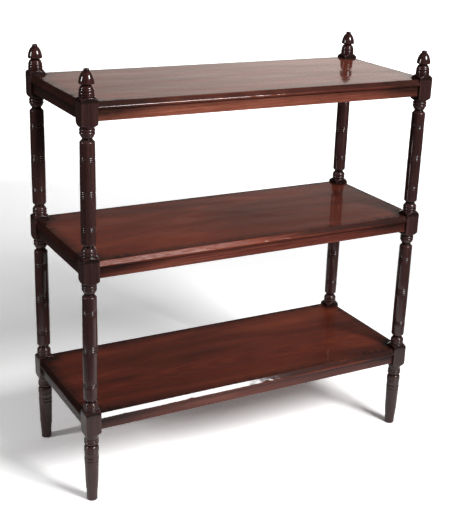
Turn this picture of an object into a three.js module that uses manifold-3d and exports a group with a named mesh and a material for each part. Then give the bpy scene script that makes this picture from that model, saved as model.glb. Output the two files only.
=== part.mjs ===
// A three-tier mahogany etagere: four turned uprights with squared blocks, rails tenoned into
// the blocks, shelves with a bevelled edge notched round them, and turned acorn finials.
// Millimetres, +Z up. The origin is on the floor under the middle of the piece, and the
// front looks towards -Y.

import * as THREE from 'three';
import * as BufferGeometryUtils from 'three/addons/utils/BufferGeometryUtils.js';
import Module from 'manifold-3d';

const wasm = await Module();
wasm.setup();

// Driving dimensions of the whole piece
const postSpanX = 940;
const postSpanY = 352;
const bottomBlockBase = 188;
const middleBlockBase = 591;
const topBlockBase = 968;
const overrun = 2;
const seatGap = 0.3;

// Squared blocks of the uprights, with turned shoulders at both ends
const blockSide = 40;
const blockHeight = 68;
const shoulderRadius = 18.2;
const shoulderDrop = 10.5;

// Turned columns between the blocks
const columnMiddleRadius = 18.4;
const columnEndRadius = 17.8;
const waistRadius = 11.6;
const columnCone = 9.5;
const collarNeckRadius = 17.5;
const collarRadius = 18.4;
const collarBase = 3.5;
const collarBead = 7;
const coneOverBlock = 6.5;
const coneUnderBlock = 10;
const middleRings = 3;
const endRings = 2;
const ringWidth = 5.9;
const ringDepth = 0.9;
const ringInset = 45;

// Turned feet under the bottom blocks
const toeRadius = 13.8;
const toeRound = 2.5;
const toeHeight = 21;
const ankleRadius = 16.3;
const ankleRise = 26;
const shinRadius = 18;
const footGroove = 5;
const footGrooveDepth = 1.3;
const footBead = 9;
const footBeadRadius = 18.5;
const footBand = 14;
const footRing = 10;
const footRingRadius = 19.2;
const footWaistRadius = 14.2;
const footCone = 5.5;
const footNeck = 5;

// Acorn finials on the top blocks
const finialBase = 4.3;
const finialBaseRadius = 18.1;
const lowerBeadRadius = 18;
const upperBeadRadius = 17.4;
const finialBead = 7;
const domeRadius = 16.2;
const domeRise = 9.2;
const finialNeckRadius = 8.4;
const capRadius = 18.2;
const capLip = 3;
const capRise = 27;
const capTopRadius = 6.3;
const buttonNip = 0.8;
const buttonRadius = 7;
const buttonRise = 5.5;
const spigotRadius = 8;
const spigotLength = 20;
const socketDepth = 22;

// Shelves: a board with a bevelled edge, notched round the blocks
const shelfThickness = 16.5;
const shelfOverBase = 57.5;
const edgeSetback = 0.5;
const edgeFillet = 5;
const bevelRun = 8;
const bevelCrown = 0.3;

// Rails under the shelves, with a tenon at each end
const railDrop = 28;
const railThickness = 20;
const railSetback = 6.5;
const tenonThickness = 8;
const tenonShoulder = 3;
const tenonLength = 14;
const mortiseSpare = 1;

// Corner blocks glued behind the rails, each with a screw up into the shelf
const cornerLeg = 52;
const cornerHeight = 22;
const screwInset = 31;
const screwHeadRadius = 4.2;
const screwHeadRise = 3;
const screwShankRadius = 2.2;
const screwTipRadius = 0.8;
const screwTipRise = 4;
const screwBite = 10;

// Facets
const columnSides = 10;
const blockSides = 8;
const finialSides = 12;
const screwSides = 6;

// Shares of an arc's width or height, for half-round beads and soft shoulders
const beadShares = [0.22, 0.78];
const crownShares = [0.35, 0.65];

const postAxisX = postSpanX / 2;
const postAxisY = postSpanY / 2;
const halfBlock = blockSide / 2;
const postTop = topBlockBase + blockHeight;
const tiers = { bottom: bottomBlockBase, middle: middleBlockBase, top: topBlockBase };
const corners = {
  front_left: [-1, -1],
  front_right: [1, -1],
  back_left: [-1, 1],
  back_right: [1, 1],
};

// Finishes: French-polished mahogany, older polish on the turnings, and slotted steel screws
const polish = { roughness: 0.28, metalness: 0 };
const finishes = {
  post: { color: 0x35221f, ...polish },
  finial: { color: 0x3c2320, ...polish },
  shelf: { color: 0x6b3328, ...polish },
  rail: { color: 0x84402f, ...polish },
  cornerBlock: { color: 0x7d5a3c, roughness: 0.8, metalness: 0 },
  screw: { color: 0x77726c, roughness: 0.45, metalness: 1 },
};

/** Turns a closed three.js geometry into a solid that can be cut and joined. */
function solid(geometry) {
  geometry.deleteAttribute('normal');
  geometry.deleteAttribute('uv');
  const merged = BufferGeometryUtils.mergeVertices(geometry);
  const index = merged.index.array;
  const triVerts = [];
  for (let i = 0; i < index.length; i += 3) {
    const [a, b, c] = [index[i], index[i + 1], index[i + 2]];
    if (a !== b && b !== c && c !== a) triVerts.push(a, b, c);
  }
  return new wasm.Manifold(new wasm.Mesh({
    numProp: 3,
    vertProperties: Float32Array.from(merged.attributes.position.array),
    triVerts: Uint32Array.from(triVerts),
  }));
}

/** A box between two opposite corners. */
function box(low, high) {
  const size = high.map((value, axis) => value - low[axis]);
  const geometry = new THREE.BoxGeometry(...size);
  geometry.translate(...low.map((value, axis) => value + size[axis] / 2));
  return solid(geometry);
}

/** Revolves an outline of [radius, height] points, first and last on the axis, round +Z. */
function turned(outline, sides) {
  const points = outline.map(([radius, height]) => new THREE.Vector2(radius, height));
  const geometry = new THREE.LatheGeometry(points, sides);
  geometry.rotateX(Math.PI / 2);
  return solid(geometry);
}

/** Extrudes an outline of [x, y] points upwards from z = 0. */
function prism(outline, height) {
  const shape = new THREE.Shape(outline.map(([x, y]) => new THREE.Vector2(x, y)));
  return solid(new THREE.ExtrudeGeometry(shape, { depth: height, bevelEnabled: false }));
}

/** An outline for the lathe, drawn upwards one element at a time from a first point. */
function lathe(radius, height) {
  const outline = [[0, height], [radius, height]];
  const end = () => outline[outline.length - 1];
  const draw = {
    /** A straight side to a new radius. */
    rise(length, toRadius = end()[0]) {
      outline.push([toRadius, end()[1] + length]);
      return draw;
    },
    /** A square step in or out. */
    step(toRadius) {
      return draw.rise(0, toRadius);
    },
    /** A round bead that swells to a radius and comes back. */
    bead(length, beadRadius) {
      const [radiusAtFoot, foot] = end();
      beadShares.forEach((share) => outline.push([beadRadius, foot + length * share]));
      outline.push([radiusAtFoot, foot + length]);
      return draw;
    },
    /** A V-shaped groove. */
    groove(length, depth) {
      const [radiusAtFoot, foot] = end();
      outline.push([radiusAtFoot - depth, foot + length / 2], [radiusAtFoot, foot + length]);
      return draw;
    },
    /** A parabola that leaves its foot upright and curves in to a new radius. */
    swell(length, toRadius, steps) {
      const [fromRadius, foot] = end();
      for (let i = 1; i <= steps; i += 1) {
        const share = i / steps;
        outline.push([fromRadius + (toRadius - fromRadius) * share ** 2, foot + length * share]);
      }
      return draw;
    },
    /** The same parabola the other way up: it curves out and arrives upright. */
    flare(length, toRadius, steps) {
      const [fromRadius, foot] = end();
      for (let i = 1; i <= steps; i += 1) {
        const left = 1 - i / steps;
        outline.push([toRadius + (fromRadius - toRadius) * left ** 2, foot + length * (1 - left)]);
      }
      return draw;
    },
    /** Closes the outline on the axis. */
    close() {
      outline.push([0, end()[1]]);
      return outline;
    },
    height: () => end()[1],
    outline,
  };
  return draw;
}

/** The two beads of a collar. */
function collar(draw) {
  draw.bead(collarBead, collarRadius).bead(collarBead, collarRadius);
}

/** A group of ringed grooves, centred on a height. */
function rings(draw, middle, count) {
  const first = middle - count * ringWidth / 2;
  draw.rise(first - draw.height(), columnRadiusAt(draw, middle));
  for (let i = 0; i < count; i += 1) draw.groove(ringWidth, ringDepth);
}

/** The column's radius at a height: it swells a little towards the middle of its bay. */
function columnRadiusAt(draw, height) {
  const share = (height - draw.bayFoot) / (draw.bayHead - draw.bayFoot);
  return columnEndRadius + (columnMiddleRadius - columnEndRadius) * Math.sin(Math.PI * share);
}

/** One bay of an upright, from the top of a block to the underside of the next. */
function bay(draw, headHeight) {
  draw.rise(collarBase, collarNeckRadius);
  collar(draw);
  draw.rise(coneOverBlock, waistRadius);
  draw.bayFoot = draw.height();
  draw.bayHead = headHeight - collarBase - 2 * collarBead - coneUnderBlock;
  draw.rise(columnCone, columnEndRadius);
  rings(draw, draw.bayFoot + ringInset, endRings);
  rings(draw, (draw.bayFoot + draw.bayHead) / 2, middleRings);
  rings(draw, draw.bayHead - ringInset, endRings);
  draw.rise(draw.bayHead - columnCone - draw.height(), columnEndRadius);
  draw.rise(columnCone, waistRadius);
  draw.rise(coneUnderBlock, collarNeckRadius);
  collar(draw);
  draw.rise(collarBase);
}

/** The turned foot, from the floor to the underside of the bottom block. */
function foot(draw) {
  const mouldings = 2 * footGroove + footBead + footBand + footRing;
  const neck = 2 * footCone + 2 * collarBead + footNeck;
  const shinRise = bottomBlockBase - toeHeight - ankleRise - mouldings - neck;
  draw.rise(toeRound, toeRadius).rise(toeHeight - toeRound);
  draw.flare(ankleRise, ankleRadius, 3);
  draw.rise(shinRise, shinRadius);
  draw.groove(footGroove, footGrooveDepth).bead(footBead, footBeadRadius);
  draw.rise(footBand).groove(footGroove, footGrooveDepth).bead(footRing, footRingRadius);
  draw.rise(footCone, footWaistRadius).rise(footCone, collarNeckRadius);
  collar(draw);
  draw.rise(footNeck);
}

/** A squared block whose ends are turned to round shoulders. */
function block(base) {
  const square = box([-halfBlock, -halfBlock, base], [halfBlock, halfBlock, base + blockHeight]);
  const corner = Math.hypot(halfBlock, halfBlock) + seatGap;
  const draw = lathe(shoulderRadius, base);
  draw.flare(shoulderDrop, corner, 2).rise(blockHeight - 2 * shoulderDrop);
  draw.swell(shoulderDrop, shoulderRadius, 2);
  return square.intersect(turned(draw.close(), blockSides));
}

/** The height of the underside of a tier's shelf. */
function shelfUnderside(base) {
  return base + shelfOverBase - shelfThickness;
}

/** A rail between two posts along +X, centred on the origin, its front towards -Y. */
function rail(base, span, tenonSpare) {
  const under = shelfUnderside(base) - railDrop;
  const over = shelfUnderside(base) - seatGap;
  const front = -halfBlock + railSetback;
  const back = front + railThickness;
  const cheek = front + (railThickness - tenonThickness) / 2;
  const halfBody = span / 2 - halfBlock - seatGap;
  const reach = span / 2 - halfBlock + tenonLength + (tenonSpare ? mortiseSpare : -seatGap);
  const play = tenonSpare ? seatGap : 0;
  const tenon = box(
    [-reach, cheek - play, under + tenonShoulder - play],
    [reach, cheek + tenonThickness + play, over - tenonShoulder + play],
  );
  if (tenonSpare) return tenon;
  return box([-halfBody, front, under], [halfBody, back, over]).add(tenon);
}

/** Everything that the rails' tenons cut out of the posts, for one tier. */
function mortises(base) {
  const front = rail(base, postSpanX, true).translate([0, -postAxisY, 0]);
  const side = rail(base, postSpanY, true).rotate([0, 0, -90]).translate([-postAxisX, 0, 0]);
  const half = front.add(side);
  return half.add(half.rotate([0, 0, 180]));
}

/** An upright, turned in one piece from the floor to its top block, at a corner. */
function post([sideX, sideY]) {
  const draw = lathe(toeRadius - toeRound, 0);
  foot(draw);
  draw.rise(blockHeight, collarNeckRadius);
  bay(draw, middleBlockBase);
  draw.rise(blockHeight, collarNeckRadius);
  bay(draw, topBlockBase);
  draw.rise(blockHeight / 2, collarNeckRadius);
  let upright = turned(draw.close(), columnSides);
  Object.values(tiers).forEach((base) => {
    upright = upright.add(block(base));
  });
  const socket = lathe(spigotRadius + seatGap, postTop - socketDepth);
  socket.rise(socketDepth + overrun);
  upright = upright.subtract(turned(socket.close(), finialSides));
  upright = upright.translate([sideX * postAxisX, sideY * postAxisY, 0]);
  Object.values(tiers).forEach((base) => {
    upright = upright.subtract(mortises(base));
  });
  return upright;
}

/** An acorn finial over two beads, with the spigot that seats in the post. */
function finial([sideX, sideY]) {
  const draw = lathe(spigotRadius, postTop - spigotLength);
  draw.rise(spigotLength + seatGap).step(finialBaseRadius).rise(finialBase);
  draw.step(domeRadius).bead(finialBead, lowerBeadRadius).bead(finialBead, upperBeadRadius);
  draw.swell(domeRise, finialNeckRadius, 2);
  draw.step(capRadius - capLip).rise(capLip, capRadius);
  draw.swell(capRise, capTopRadius, 4);
  draw.rise(buttonNip, buttonRadius).rise((buttonRise - buttonNip) / 2);
  draw.swell((buttonRise - buttonNip) / 2, 0, 2);
  return turned(draw.outline, finialSides)
    .translate([sideX * postAxisX, sideY * postAxisY, 0]);
}

/** Half of a shelf's section, from its underside at the middle out to the edge and back. */
function edgeOutline(halfDepth) {
  const crown = bevelCrown / Math.SQRT2;
  const bevelRise = shelfThickness - edgeFillet;
  const bevel = crownShares.map((share) => [
    halfDepth - bevelRun * share + crown,
    edgeFillet + bevelRise * share + crown,
  ]);
  const right = [
    [halfDepth, 0],
    [halfDepth, edgeFillet],
    ...bevel,
    [halfDepth - bevelRun, shelfThickness],
  ];
  return [...right, ...right.map(([across, up]) => [-across, up]).reverse()];
}

/** A shelf: a board moulded on all four edges, notched round the blocks at its corners. */
function shelf(base) {
  const halfX = postAxisX + halfBlock - edgeSetback;
  const halfY = postAxisY + halfBlock - edgeSetback;
  const under = shelfUnderside(base);
  const along = prism(edgeOutline(halfY), 2 * halfX)
    .rotate([90, 0, 90])
    .translate([-halfX, 0, under]);
  const across = prism(edgeOutline(halfX), 2 * halfY)
    .rotate([90, 0, 0])
    .translate([0, halfY, under]);
  let board = along.intersect(across);
  const notch = halfBlock + seatGap;
  const reach = halfBlock + overrun;
  Object.values(corners).forEach(([sideX, sideY]) => {
    const [x, y] = [sideX * postAxisX, sideY * postAxisY];
    board = board.subtract(box(
      [Math.min(x - sideX * notch, x + sideX * reach),
        Math.min(y - sideY * notch, y + sideY * reach), under - overrun],
      [Math.max(x - sideX * notch, x + sideX * reach),
        Math.max(y - sideY * notch, y + sideY * reach), under + shelfThickness + overrun],
    ));
    board = board.subtract(screw(base, [sideX, sideY], seatGap));
  });
  return board;
}

/** A corner block under a shelf, notched round the post and drilled for its screw. */
function cornerBlock(base, [sideX, sideY]) {
  const wall = halfBlock - railSetback - railThickness;
  const inner = -wall + seatGap;
  const notch = halfBlock + seatGap;
  const reach = notch + cornerLeg;
  const top = shelfUnderside(base) - seatGap;
  const outline = [[notch, inner], [reach, inner], [inner, reach], [inner, notch], [notch, notch]];
  const turn = Math.atan2(-sideY, -sideX) * THREE.MathUtils.RAD2DEG - 45;
  return prism(outline, cornerHeight)
    .rotate([0, 0, turn])
    .translate([sideX * postAxisX, sideY * postAxisY, top - cornerHeight])
    .subtract(screw(base, [sideX, sideY], seatGap));
}

/** A countersunk screw up through a corner block into its shelf, grown by a clearance. */
function screw(base, [sideX, sideY], grow) {
  const foot = shelfUnderside(base) - seatGap - cornerHeight;
  const length = cornerHeight + screwBite;
  const draw = lathe(screwHeadRadius + grow, foot + (grow ? -overrun : 0));
  if (grow) draw.rise(overrun);
  draw.rise(screwHeadRise, screwShankRadius + grow);
  draw.rise(length - screwHeadRise - screwTipRise).rise(screwTipRise + grow, screwTipRadius + grow);
  const x = sideX * (postAxisX - screwInset);
  const y = sideY * (postAxisY - screwInset);
  return turned(draw.close(), screwSides).translate([x, y, 0]);
}

const etagere = new THREE.Group();

/** Adds a solid to the piece as a named mesh with its own finish. */
function add(name, manifold, finish) {
  const { vertProperties, triVerts } = manifold.getMesh();
  const geometry = new THREE.BufferGeometry();
  geometry.setAttribute('position', new THREE.BufferAttribute(vertProperties, 3));
  geometry.setIndex(new THREE.BufferAttribute(triVerts, 1));
  geometry.computeVertexNormals();
  const mesh = new THREE.Mesh(geometry, new THREE.MeshStandardMaterial(finish));
  mesh.name = name;
  etagere.add(mesh);
}

Object.entries(corners).forEach(([corner, sides]) => {
  add(`post_${corner}`, post(sides), finishes.post);
  add(`finial_${corner}`, finial(sides), finishes.finial);
});

Object.entries(tiers).forEach(([tier, base]) => {
  add(`shelf_${tier}`, shelf(base), finishes.shelf);
  const long = rail(base, postSpanX, false).translate([0, -postAxisY, 0]);
  const short = rail(base, postSpanY, false).rotate([0, 0, -90]).translate([-postAxisX, 0, 0]);
  add(`rail_${tier}_front`, long, finishes.rail);
  add(`rail_${tier}_left`, short, finishes.rail);
  add(`rail_${tier}_back`, long.rotate([0, 0, 180]), finishes.rail);
  add(`rail_${tier}_right`, short.rotate([0, 0, 180]), finishes.rail);
  Object.entries(corners).forEach(([corner, sides]) => {
    add(`corner_block_${tier}_${corner}`, cornerBlock(base, sides), finishes.cornerBlock);
    add(`screw_${tier}_${corner}`, screw(base, sides, 0), finishes.screw);
  });
});

export default etagere;
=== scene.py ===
"""Looks of a three-tier mahogany etagere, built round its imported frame.

Metres, +Z up, the front towards -Y. Sizes below are in millimetres unless a name says otherwise.
"""

import math

import bpy
import numpy as np
from mathutils import Matrix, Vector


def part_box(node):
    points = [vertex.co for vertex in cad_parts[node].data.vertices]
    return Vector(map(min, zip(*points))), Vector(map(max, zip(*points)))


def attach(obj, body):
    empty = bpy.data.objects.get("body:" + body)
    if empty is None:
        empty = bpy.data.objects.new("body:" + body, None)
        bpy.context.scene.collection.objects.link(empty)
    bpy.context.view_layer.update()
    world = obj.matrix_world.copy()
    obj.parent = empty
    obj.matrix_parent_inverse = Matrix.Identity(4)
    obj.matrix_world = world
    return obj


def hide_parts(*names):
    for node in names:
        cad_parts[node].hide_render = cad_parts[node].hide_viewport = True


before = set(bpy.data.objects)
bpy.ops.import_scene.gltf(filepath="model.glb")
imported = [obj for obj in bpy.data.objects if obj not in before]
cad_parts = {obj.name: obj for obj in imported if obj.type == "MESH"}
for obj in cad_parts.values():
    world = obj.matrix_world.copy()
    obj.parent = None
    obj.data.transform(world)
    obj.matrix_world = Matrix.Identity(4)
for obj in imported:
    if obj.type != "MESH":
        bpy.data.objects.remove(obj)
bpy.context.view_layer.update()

MM = 0.001
TIERS = ("bottom", "middle", "top")
CORNERS = ("front_left", "front_right", "back_left", "back_right")
SIDES = ("front", "right", "back", "left")


def node_box(node):
    """The lowest and highest corners of a CAD node, in millimetres."""
    low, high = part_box(node)
    return np.array(low) / MM, np.array(high) / MM


def placed(columns, place):
    """A matrix that puts an object's own axes along three directions, at a place."""
    turn = np.eye(4)
    turn[:3, :3] = np.transpose(columns)
    turn[:3, 3] = place
    return Matrix(turn)


# ---- the photograph's camera ----

PHOTO_HEIGHT_PX = 511
FOCAL_PX = 1043.64
MIDDLE_PX = (27.0, 1.5)
CAMERA_PLACE = (-1.2973, -2.3489, 1.5065)
CAMERA_TURN_DEG = (30.299, -19.949, 2.454)
SENSOR_MM = 36.0


def photo_camera():
    """A pinhole camera from a heading, a tilt and a roll, fitted to the posts in the photograph."""
    heading, tilt, roll = (math.radians(angle) for angle in CAMERA_TURN_DEG)
    ahead = np.array([math.sin(heading) * math.cos(tilt), math.cos(heading) * math.cos(tilt),
                      math.sin(tilt)])
    level = np.cross(ahead, [0, 0, 1])
    level /= np.linalg.norm(level)
    above = np.cross(level, ahead)
    right = math.cos(roll) * level + math.sin(roll) * above
    up = math.cos(roll) * above - math.sin(roll) * level
    data = bpy.data.cameras.new("photo_camera")
    data.sensor_width = SENSOR_MM
    data.lens = FOCAL_PX * SENSOR_MM / PHOTO_HEIGHT_PX
    data.shift_x = -MIDDLE_PX[0] / PHOTO_HEIGHT_PX
    data.shift_y = MIDDLE_PX[1] / PHOTO_HEIGHT_PX
    camera = bpy.data.objects.new("photo_camera", data)
    camera.matrix_world = placed((right, up, -ahead), CAMERA_PLACE)
    bpy.context.scene.collection.objects.link(camera)
    bpy.context.scene.camera = camera


# ---- finishes ----

# Every point of a polished surface carries a number for wear and painted shade: -1 is deep old wax,
# and the same dark colour is painted shade in the turnings' hollows, along the rail tops and on the
# shelves' ends and backs; 0 sound polish, 1 an arris rubbed bright, and 2 an edge that is scuffed
# right through its polish. The wax colour below is also the colour of that painted shade.
WAX_AND_SHADE_COLOUR = "#180f0d"
WAX_AND_SHADE_HIDES = 0.92  # how much of the wood's colour goes under wax, at most
WAX_THINNED = 0.88  # and what is left of that where the wax is thin
WAX_FULL = -0.7  # the wear from which wax hides as much as it can
WAX_DULLS = -0.72  # the wear from which its shine falls, down to this share of it at -1:
WAX_SHINE = 0.15
RUB_LIGHTENS = 0.3  # how far a rubbed arris goes towards the lightest tone
POLISH_BREAKS = (0.95, 1.1)  # the wear over which an even polish turns into a broken one
BROKEN_SHINE = (0.12, 0.7)  # shares of the shine in the pits and between them
PIT_DEPTH = 0.0005  # metres, as is the next
BOARD_WAVE_DEPTH = 0.0006
FIGURE_LEVELS = (0.3, 0.5, 0.68)  # where on the figure the dark, middle and light tones lie
STREAK_SHARE = 0.46  # of the streaks, against the flames
RING_SHARE = 0.045  # of the growth rings, against both
ALONG_X, ALONG_Y, ALONG_Z = range(3)


def linear(hex_colour):
    """An sRGB hex colour as linear red, green, blue and alpha."""
    channels = [int(hex_colour[i:i + 2], 16) / 255 for i in (1, 3, 5)]
    return tuple(c / 12.92 if c <= 0.04045 else ((c + 0.055) / 1.055) ** 2.4
                 for c in channels) + (1,)


def add(tree, kind, sockets=None, out=0, stops=None, **settings):
    """Adds a node with its settings, values and links, and returns one of its outputs."""
    made = tree.nodes.new(kind)
    for key, value in settings.items():
        setattr(made, key, value)
    if stops:
        elements = made.color_ramp.elements
        while len(elements) < len(stops):
            elements.new(0.5)
        for element, (place, colour) in zip(elements, stops):
            element.position = place
            element.color = linear(colour) if isinstance(colour, str) else (colour,) * 3 + (1,)
    for key, value in (sockets or {}).items():
        if isinstance(value, bpy.types.NodeSocket):
            tree.links.new(value, made.inputs[key])
        else:
            made.inputs[key].default_value = value
    return made.outputs[out] if made.outputs else made


def remap(tree, value, start, end, low, high):
    """A value carried evenly from one range to another, and held at the ends of the other."""
    return add(tree, "ShaderNodeMapRange", dict(enumerate((value, start, end, low, high))))


def reckon(tree, operation, *values):
    """What a Math node makes of one, two or three values."""
    return add(tree, "ShaderNodeMath", dict(enumerate(values)), operation=operation)


def mixed(tree, share, first, second):
    """Two numbers mixed: so much of the second, and the rest of the first."""
    return add(tree, "ShaderNodeMix", {0: share, 2: first, 3: second})


def mixed_colours(tree, share, first, second, blend_type="MIX"):
    """Two colours mixed: so much of the second, and the rest of the first."""
    return add(tree, "ShaderNodeMix", {0: share, 6: first, 7: second}, out=2, data_type="RGBA",
               blend_type=blend_type)


def stretched(axis, along, across):
    """Scales per axis for a pattern that is drawn out along one of them."""
    return tuple(along if other == axis else across for other in range(3))


def stretched_noise(tree, place, axis, along, across, detail, roughness=0.5, distortion=0.0,
                    shift=(0.0, 0.0, 0.0)):
    """Noise with so many features in a metre along an axis and across it."""
    at = add(tree, "ShaderNodeMapping", {"Vector": place, "Location": shift,
                                         "Scale": stretched(axis, along, across)})
    return add(tree, "ShaderNodeTexNoise", {"Vector": at, "Scale": 1.0, "Detail": detail,
                                            "Roughness": roughness, "Distortion": distortion})


def new_material(name):
    """An empty node material, its tree, and the places on the object in metres."""
    material = bpy.data.materials.new(name)
    material.use_nodes = True
    tree = material.node_tree
    tree.nodes.clear()
    return material, tree, add(tree, "ShaderNodeTexCoord", out="Object")


def finish(tree, sockets):
    """A Principled surface as the whole of a material."""
    surface = add(tree, "ShaderNodeBsdfPrincipled", sockets)
    add(tree, "ShaderNodeOutputMaterial", {"Surface": surface})


def mahogany_tone(tree, place, grain_axis, tones, heart, lean_deg, ring_mm, drift, streak):
    """The wood's own colour: flames, streaks and growth rings between three tones, and pores."""
    # flames of tone: 130 mm wide, 700 mm long
    flame = stretched_noise(tree, place, grain_axis, 1.5, 7.7, 3.0, 0.5, 0.9, heart)
    # growth rings round the heart, drawn out along the grain and bent by a few rings; at a scale s
    # the rings of a wave texture lie pi / (10 s) apart
    heart_at = add(tree, "ShaderNodeMapping", {
        "Vector": place, "Location": heart, "Rotation": tuple(map(math.radians, lean_deg))})
    ring_at = add(tree, "ShaderNodeMapping", {"Vector": heart_at,
                                              "Scale": stretched(grain_axis, 0.12, 1.0)})
    ring = add(tree, "ShaderNodeTexWave", {
        "Vector": ring_at, "Scale": math.pi / (10 * ring_mm * MM), "Distortion": 9.0, "Detail": 3.0,
        "Detail Scale": 0.4, "Detail Roughness": 0.55},
        wave_type="RINGS", rings_direction="XYZ"[grain_axis])
    figure = mixed(tree, RING_SHARE, mixed(tree, STREAK_SHARE, flame, streak), ring)
    lengthwise = add(tree, "ShaderNodeSeparateXYZ", {"Vector": place}, out=grain_axis)
    drifted = reckon(tree, "MULTIPLY_ADD", lengthwise, drift, figure)
    wood = add(tree, "ShaderNodeValToRGB", {"Fac": drifted}, stops=list(zip(FIGURE_LEVELS, tones)))
    # pores are 0.2 mm wide and 4 mm long; drawn 1.1 mm wide and 25 mm long so that they show
    pore = stretched_noise(tree, place, grain_axis, 40.0, 900.0, 2.0, 0.6)
    pores = add(tree, "ShaderNodeValToRGB", {"Fac": pore}, stops=((0.34, 0.62), (0.5, 1.0)))
    return mixed_colours(tree, 1.0, wood, pores, "MULTIPLY")


def french_polished_mahogany(name, grain_axis, tones, heart, lean_deg, ring_mm, coat, drift=0.0):
    """Mahogany under French polish: shellac rubbed on by hand, a deep even gloss over dark grain.

    The eye gets broad flames of tone a hand wide, growth rings cut at a slant, streaks a few
    millimetres wide along the grain, short dark pores, nearly black old wax in the hollows and on
    the mouldings, painted shade in that same near black in the turnings' hollows, along the tops of
    the rails and on the shelves' ends and backs, paler, rubbed arrises, and a pitted edge with a
    broken gloss where the polish is scuffed through. The heart is where the middle of the tree
    lies, in metres from the origin, and the board leans on it by a few degrees. The coat is the
    strength of the polish. Drift is how much lighter the colour is made along each metre of the
    grain.
    """
    material, tree, place = new_material(name)
    # streaks: 5 mm wide, 250 mm long
    streak = stretched_noise(tree, place, grain_axis, 4.0, 200.0, 4.0, 0.6, 0.3)
    wood = mahogany_tone(tree, place, grain_axis, tones, heart, lean_deg, ring_mm, drift, streak)
    wear_and_shade = add(tree, "ShaderNodeAttribute", out="Fac", attribute_name="wear_and_shade")
    # wax lies unevenly, and the painted shade with it: it thins out in patches 30 mm long
    patch = stretched_noise(tree, place, grain_axis, 30.0, 60.0, 3.0)
    thin = remap(tree, patch, 0.35, 0.65, 1.0, WAX_THINNED)
    wax_and_shade = reckon(tree, "MULTIPLY", remap(tree, wear_and_shade, 0.0, WAX_FULL, 0.0, WAX_AND_SHADE_HIDES), thin)
    waxed_and_shaded = mixed_colours(tree, wax_and_shade, wood, linear(WAX_AND_SHADE_COLOUR))
    rubbed = remap(tree, wear_and_shade, 0.0, 1.0, 0.0, RUB_LIGHTENS)
    worn_and_shaded = mixed_colours(tree, rubbed, waxed_and_shaded, linear(tones[-1]))
    # an edge that is knocked and rubbed for years is pitted every few millimetres
    pit = add(tree, "ShaderNodeTexNoise", {"Vector": place, "Scale": 260.0, "Detail": 3.0,
                                           "Roughness": 0.7})
    scuffed = remap(tree, wear_and_shade, 1.0, 2.0, 0.0, 1.0)
    pits = add(tree, "ShaderNodeBump", {"Strength": scuffed, "Distance": PIT_DEPTH, "Height": pit})
    # the deepest wax is dull, and so is painted shade as deep: no polish shines through it
    polish = remap(tree, wear_and_shade, -1.0, WAX_DULLS, WAX_SHINE * coat, coat)
    # where an edge is scuffed through, a broken gloss is left between the pits
    between = remap(tree, pit, 0.42, 0.62, *(share * coat for share in BROKEN_SHINE))
    broken = reckon(tree, "MULTIPLY", between, scuffed)
    shine = remap(tree, wear_and_shade, *POLISH_BREAKS, polish, broken)
    # hand-planed boards under polish are never quite flat: waves 70 to 170 mm long, tenths deep
    wave = stretched_noise(tree, place, grain_axis, 6.0, 14.0, 1.0)
    waves = add(tree, "ShaderNodeBump", {"Strength": 1.0, "Distance": BOARD_WAVE_DEPTH,
                                         "Height": wave, "Normal": pits})
    finish(tree, {"Base Color": worn_and_shaded, "Roughness": remap(tree, streak, 0.35, 0.7, 0.4, 0.6),
                  "IOR": 1.5, "Specular IOR Level": 0.05, "Coat Weight": shine,
                  "Coat Roughness": 0.08, "Normal": waves, "Coat Normal": waves})
    return material


def bare_pine(name):
    """Pine glue blocks, sawn and never polished: pale brown, with wide soft rings, and matt."""
    material, tree, place = new_material(name)
    # rings: 3 mm apart, running up the block; saw marks: 1 mm apart, across it
    ring = stretched_noise(tree, place, ALONG_Z, 12.0, 330.0, 3.0)
    saw = stretched_noise(tree, place, ALONG_Z, 900.0, 30.0, 1.0)
    wood = add(tree, "ShaderNodeValToRGB", {"Fac": ring},
               stops=((0.35, "#5f4029"), (0.52, "#80603f"), (0.7, "#94744f")))
    bump = add(tree, "ShaderNodeBump", {"Strength": 0.5, "Distance": 0.0003, "Height": saw})
    finish(tree, {"Base Color": wood, "Roughness": 0.82, "Normal": bump})
    return material


def old_steel(name):
    """Steel wood screws that have dulled under a shelf: dark grey metal with brown freckles."""
    material, tree, place = new_material(name)
    # freckles of rust about 1 mm across
    rust = add(tree, "ShaderNodeTexNoise", {"Vector": place, "Scale": 900.0, "Detail": 3.0})
    colour = add(tree, "ShaderNodeValToRGB", {"Fac": rust},
                 stops=((0.45, "#77726c"), (0.62, "#5b4132")))
    finish(tree, {"Base Color": colour, "Metallic": 1.0,
                  "Roughness": remap(tree, rust, 0.4, 0.65, 0.38, 0.75)})
    return material


# ---- meshes ----

def grid_faces(rows, columns, closed):
    """Quads between neighbours of a grid, its last column joined to the first when it is closed."""
    index = np.arange(rows * columns).reshape(rows, columns)
    after = np.roll(index, -1, axis=1) if closed else index[:, 1:]
    here = index if closed else index[:, :-1]
    return np.stack([here[:-1], after[:-1], after[1:], here[1:]], axis=-1).reshape(-1, 4)


def bump_of(size, spread, distance):
    """A Gaussian bump: size * exp(-(distance / spread) squared)."""
    return size * np.exp(-(distance / spread)**2)


def piece(name, points, faces, wear_and_shade, material, sharp_deg=32.0):
    """A finished piece: points in millimetres, faces as point numbers, and wear and painted shade
    for each point.
    """
    mesh = bpy.data.meshes.new(name)
    mesh.from_pydata((np.asarray(points, float) * MM).tolist(), [],
                     [np.asarray(face).tolist() for face in faces])
    mesh.attributes.new("wear_and_shade", "FLOAT", "POINT").data.foreach_set(
        "value", np.asarray(wear_and_shade, np.float32))
    mesh.materials.append(material)
    mesh.validate()
    mesh.shade_smooth()
    mesh.set_sharp_from_angle(angle=math.radians(sharp_deg))
    made = bpy.data.objects.new(name, mesh)
    bpy.context.scene.collection.objects.link(made)
    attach(made, "root")
    return made


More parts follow.
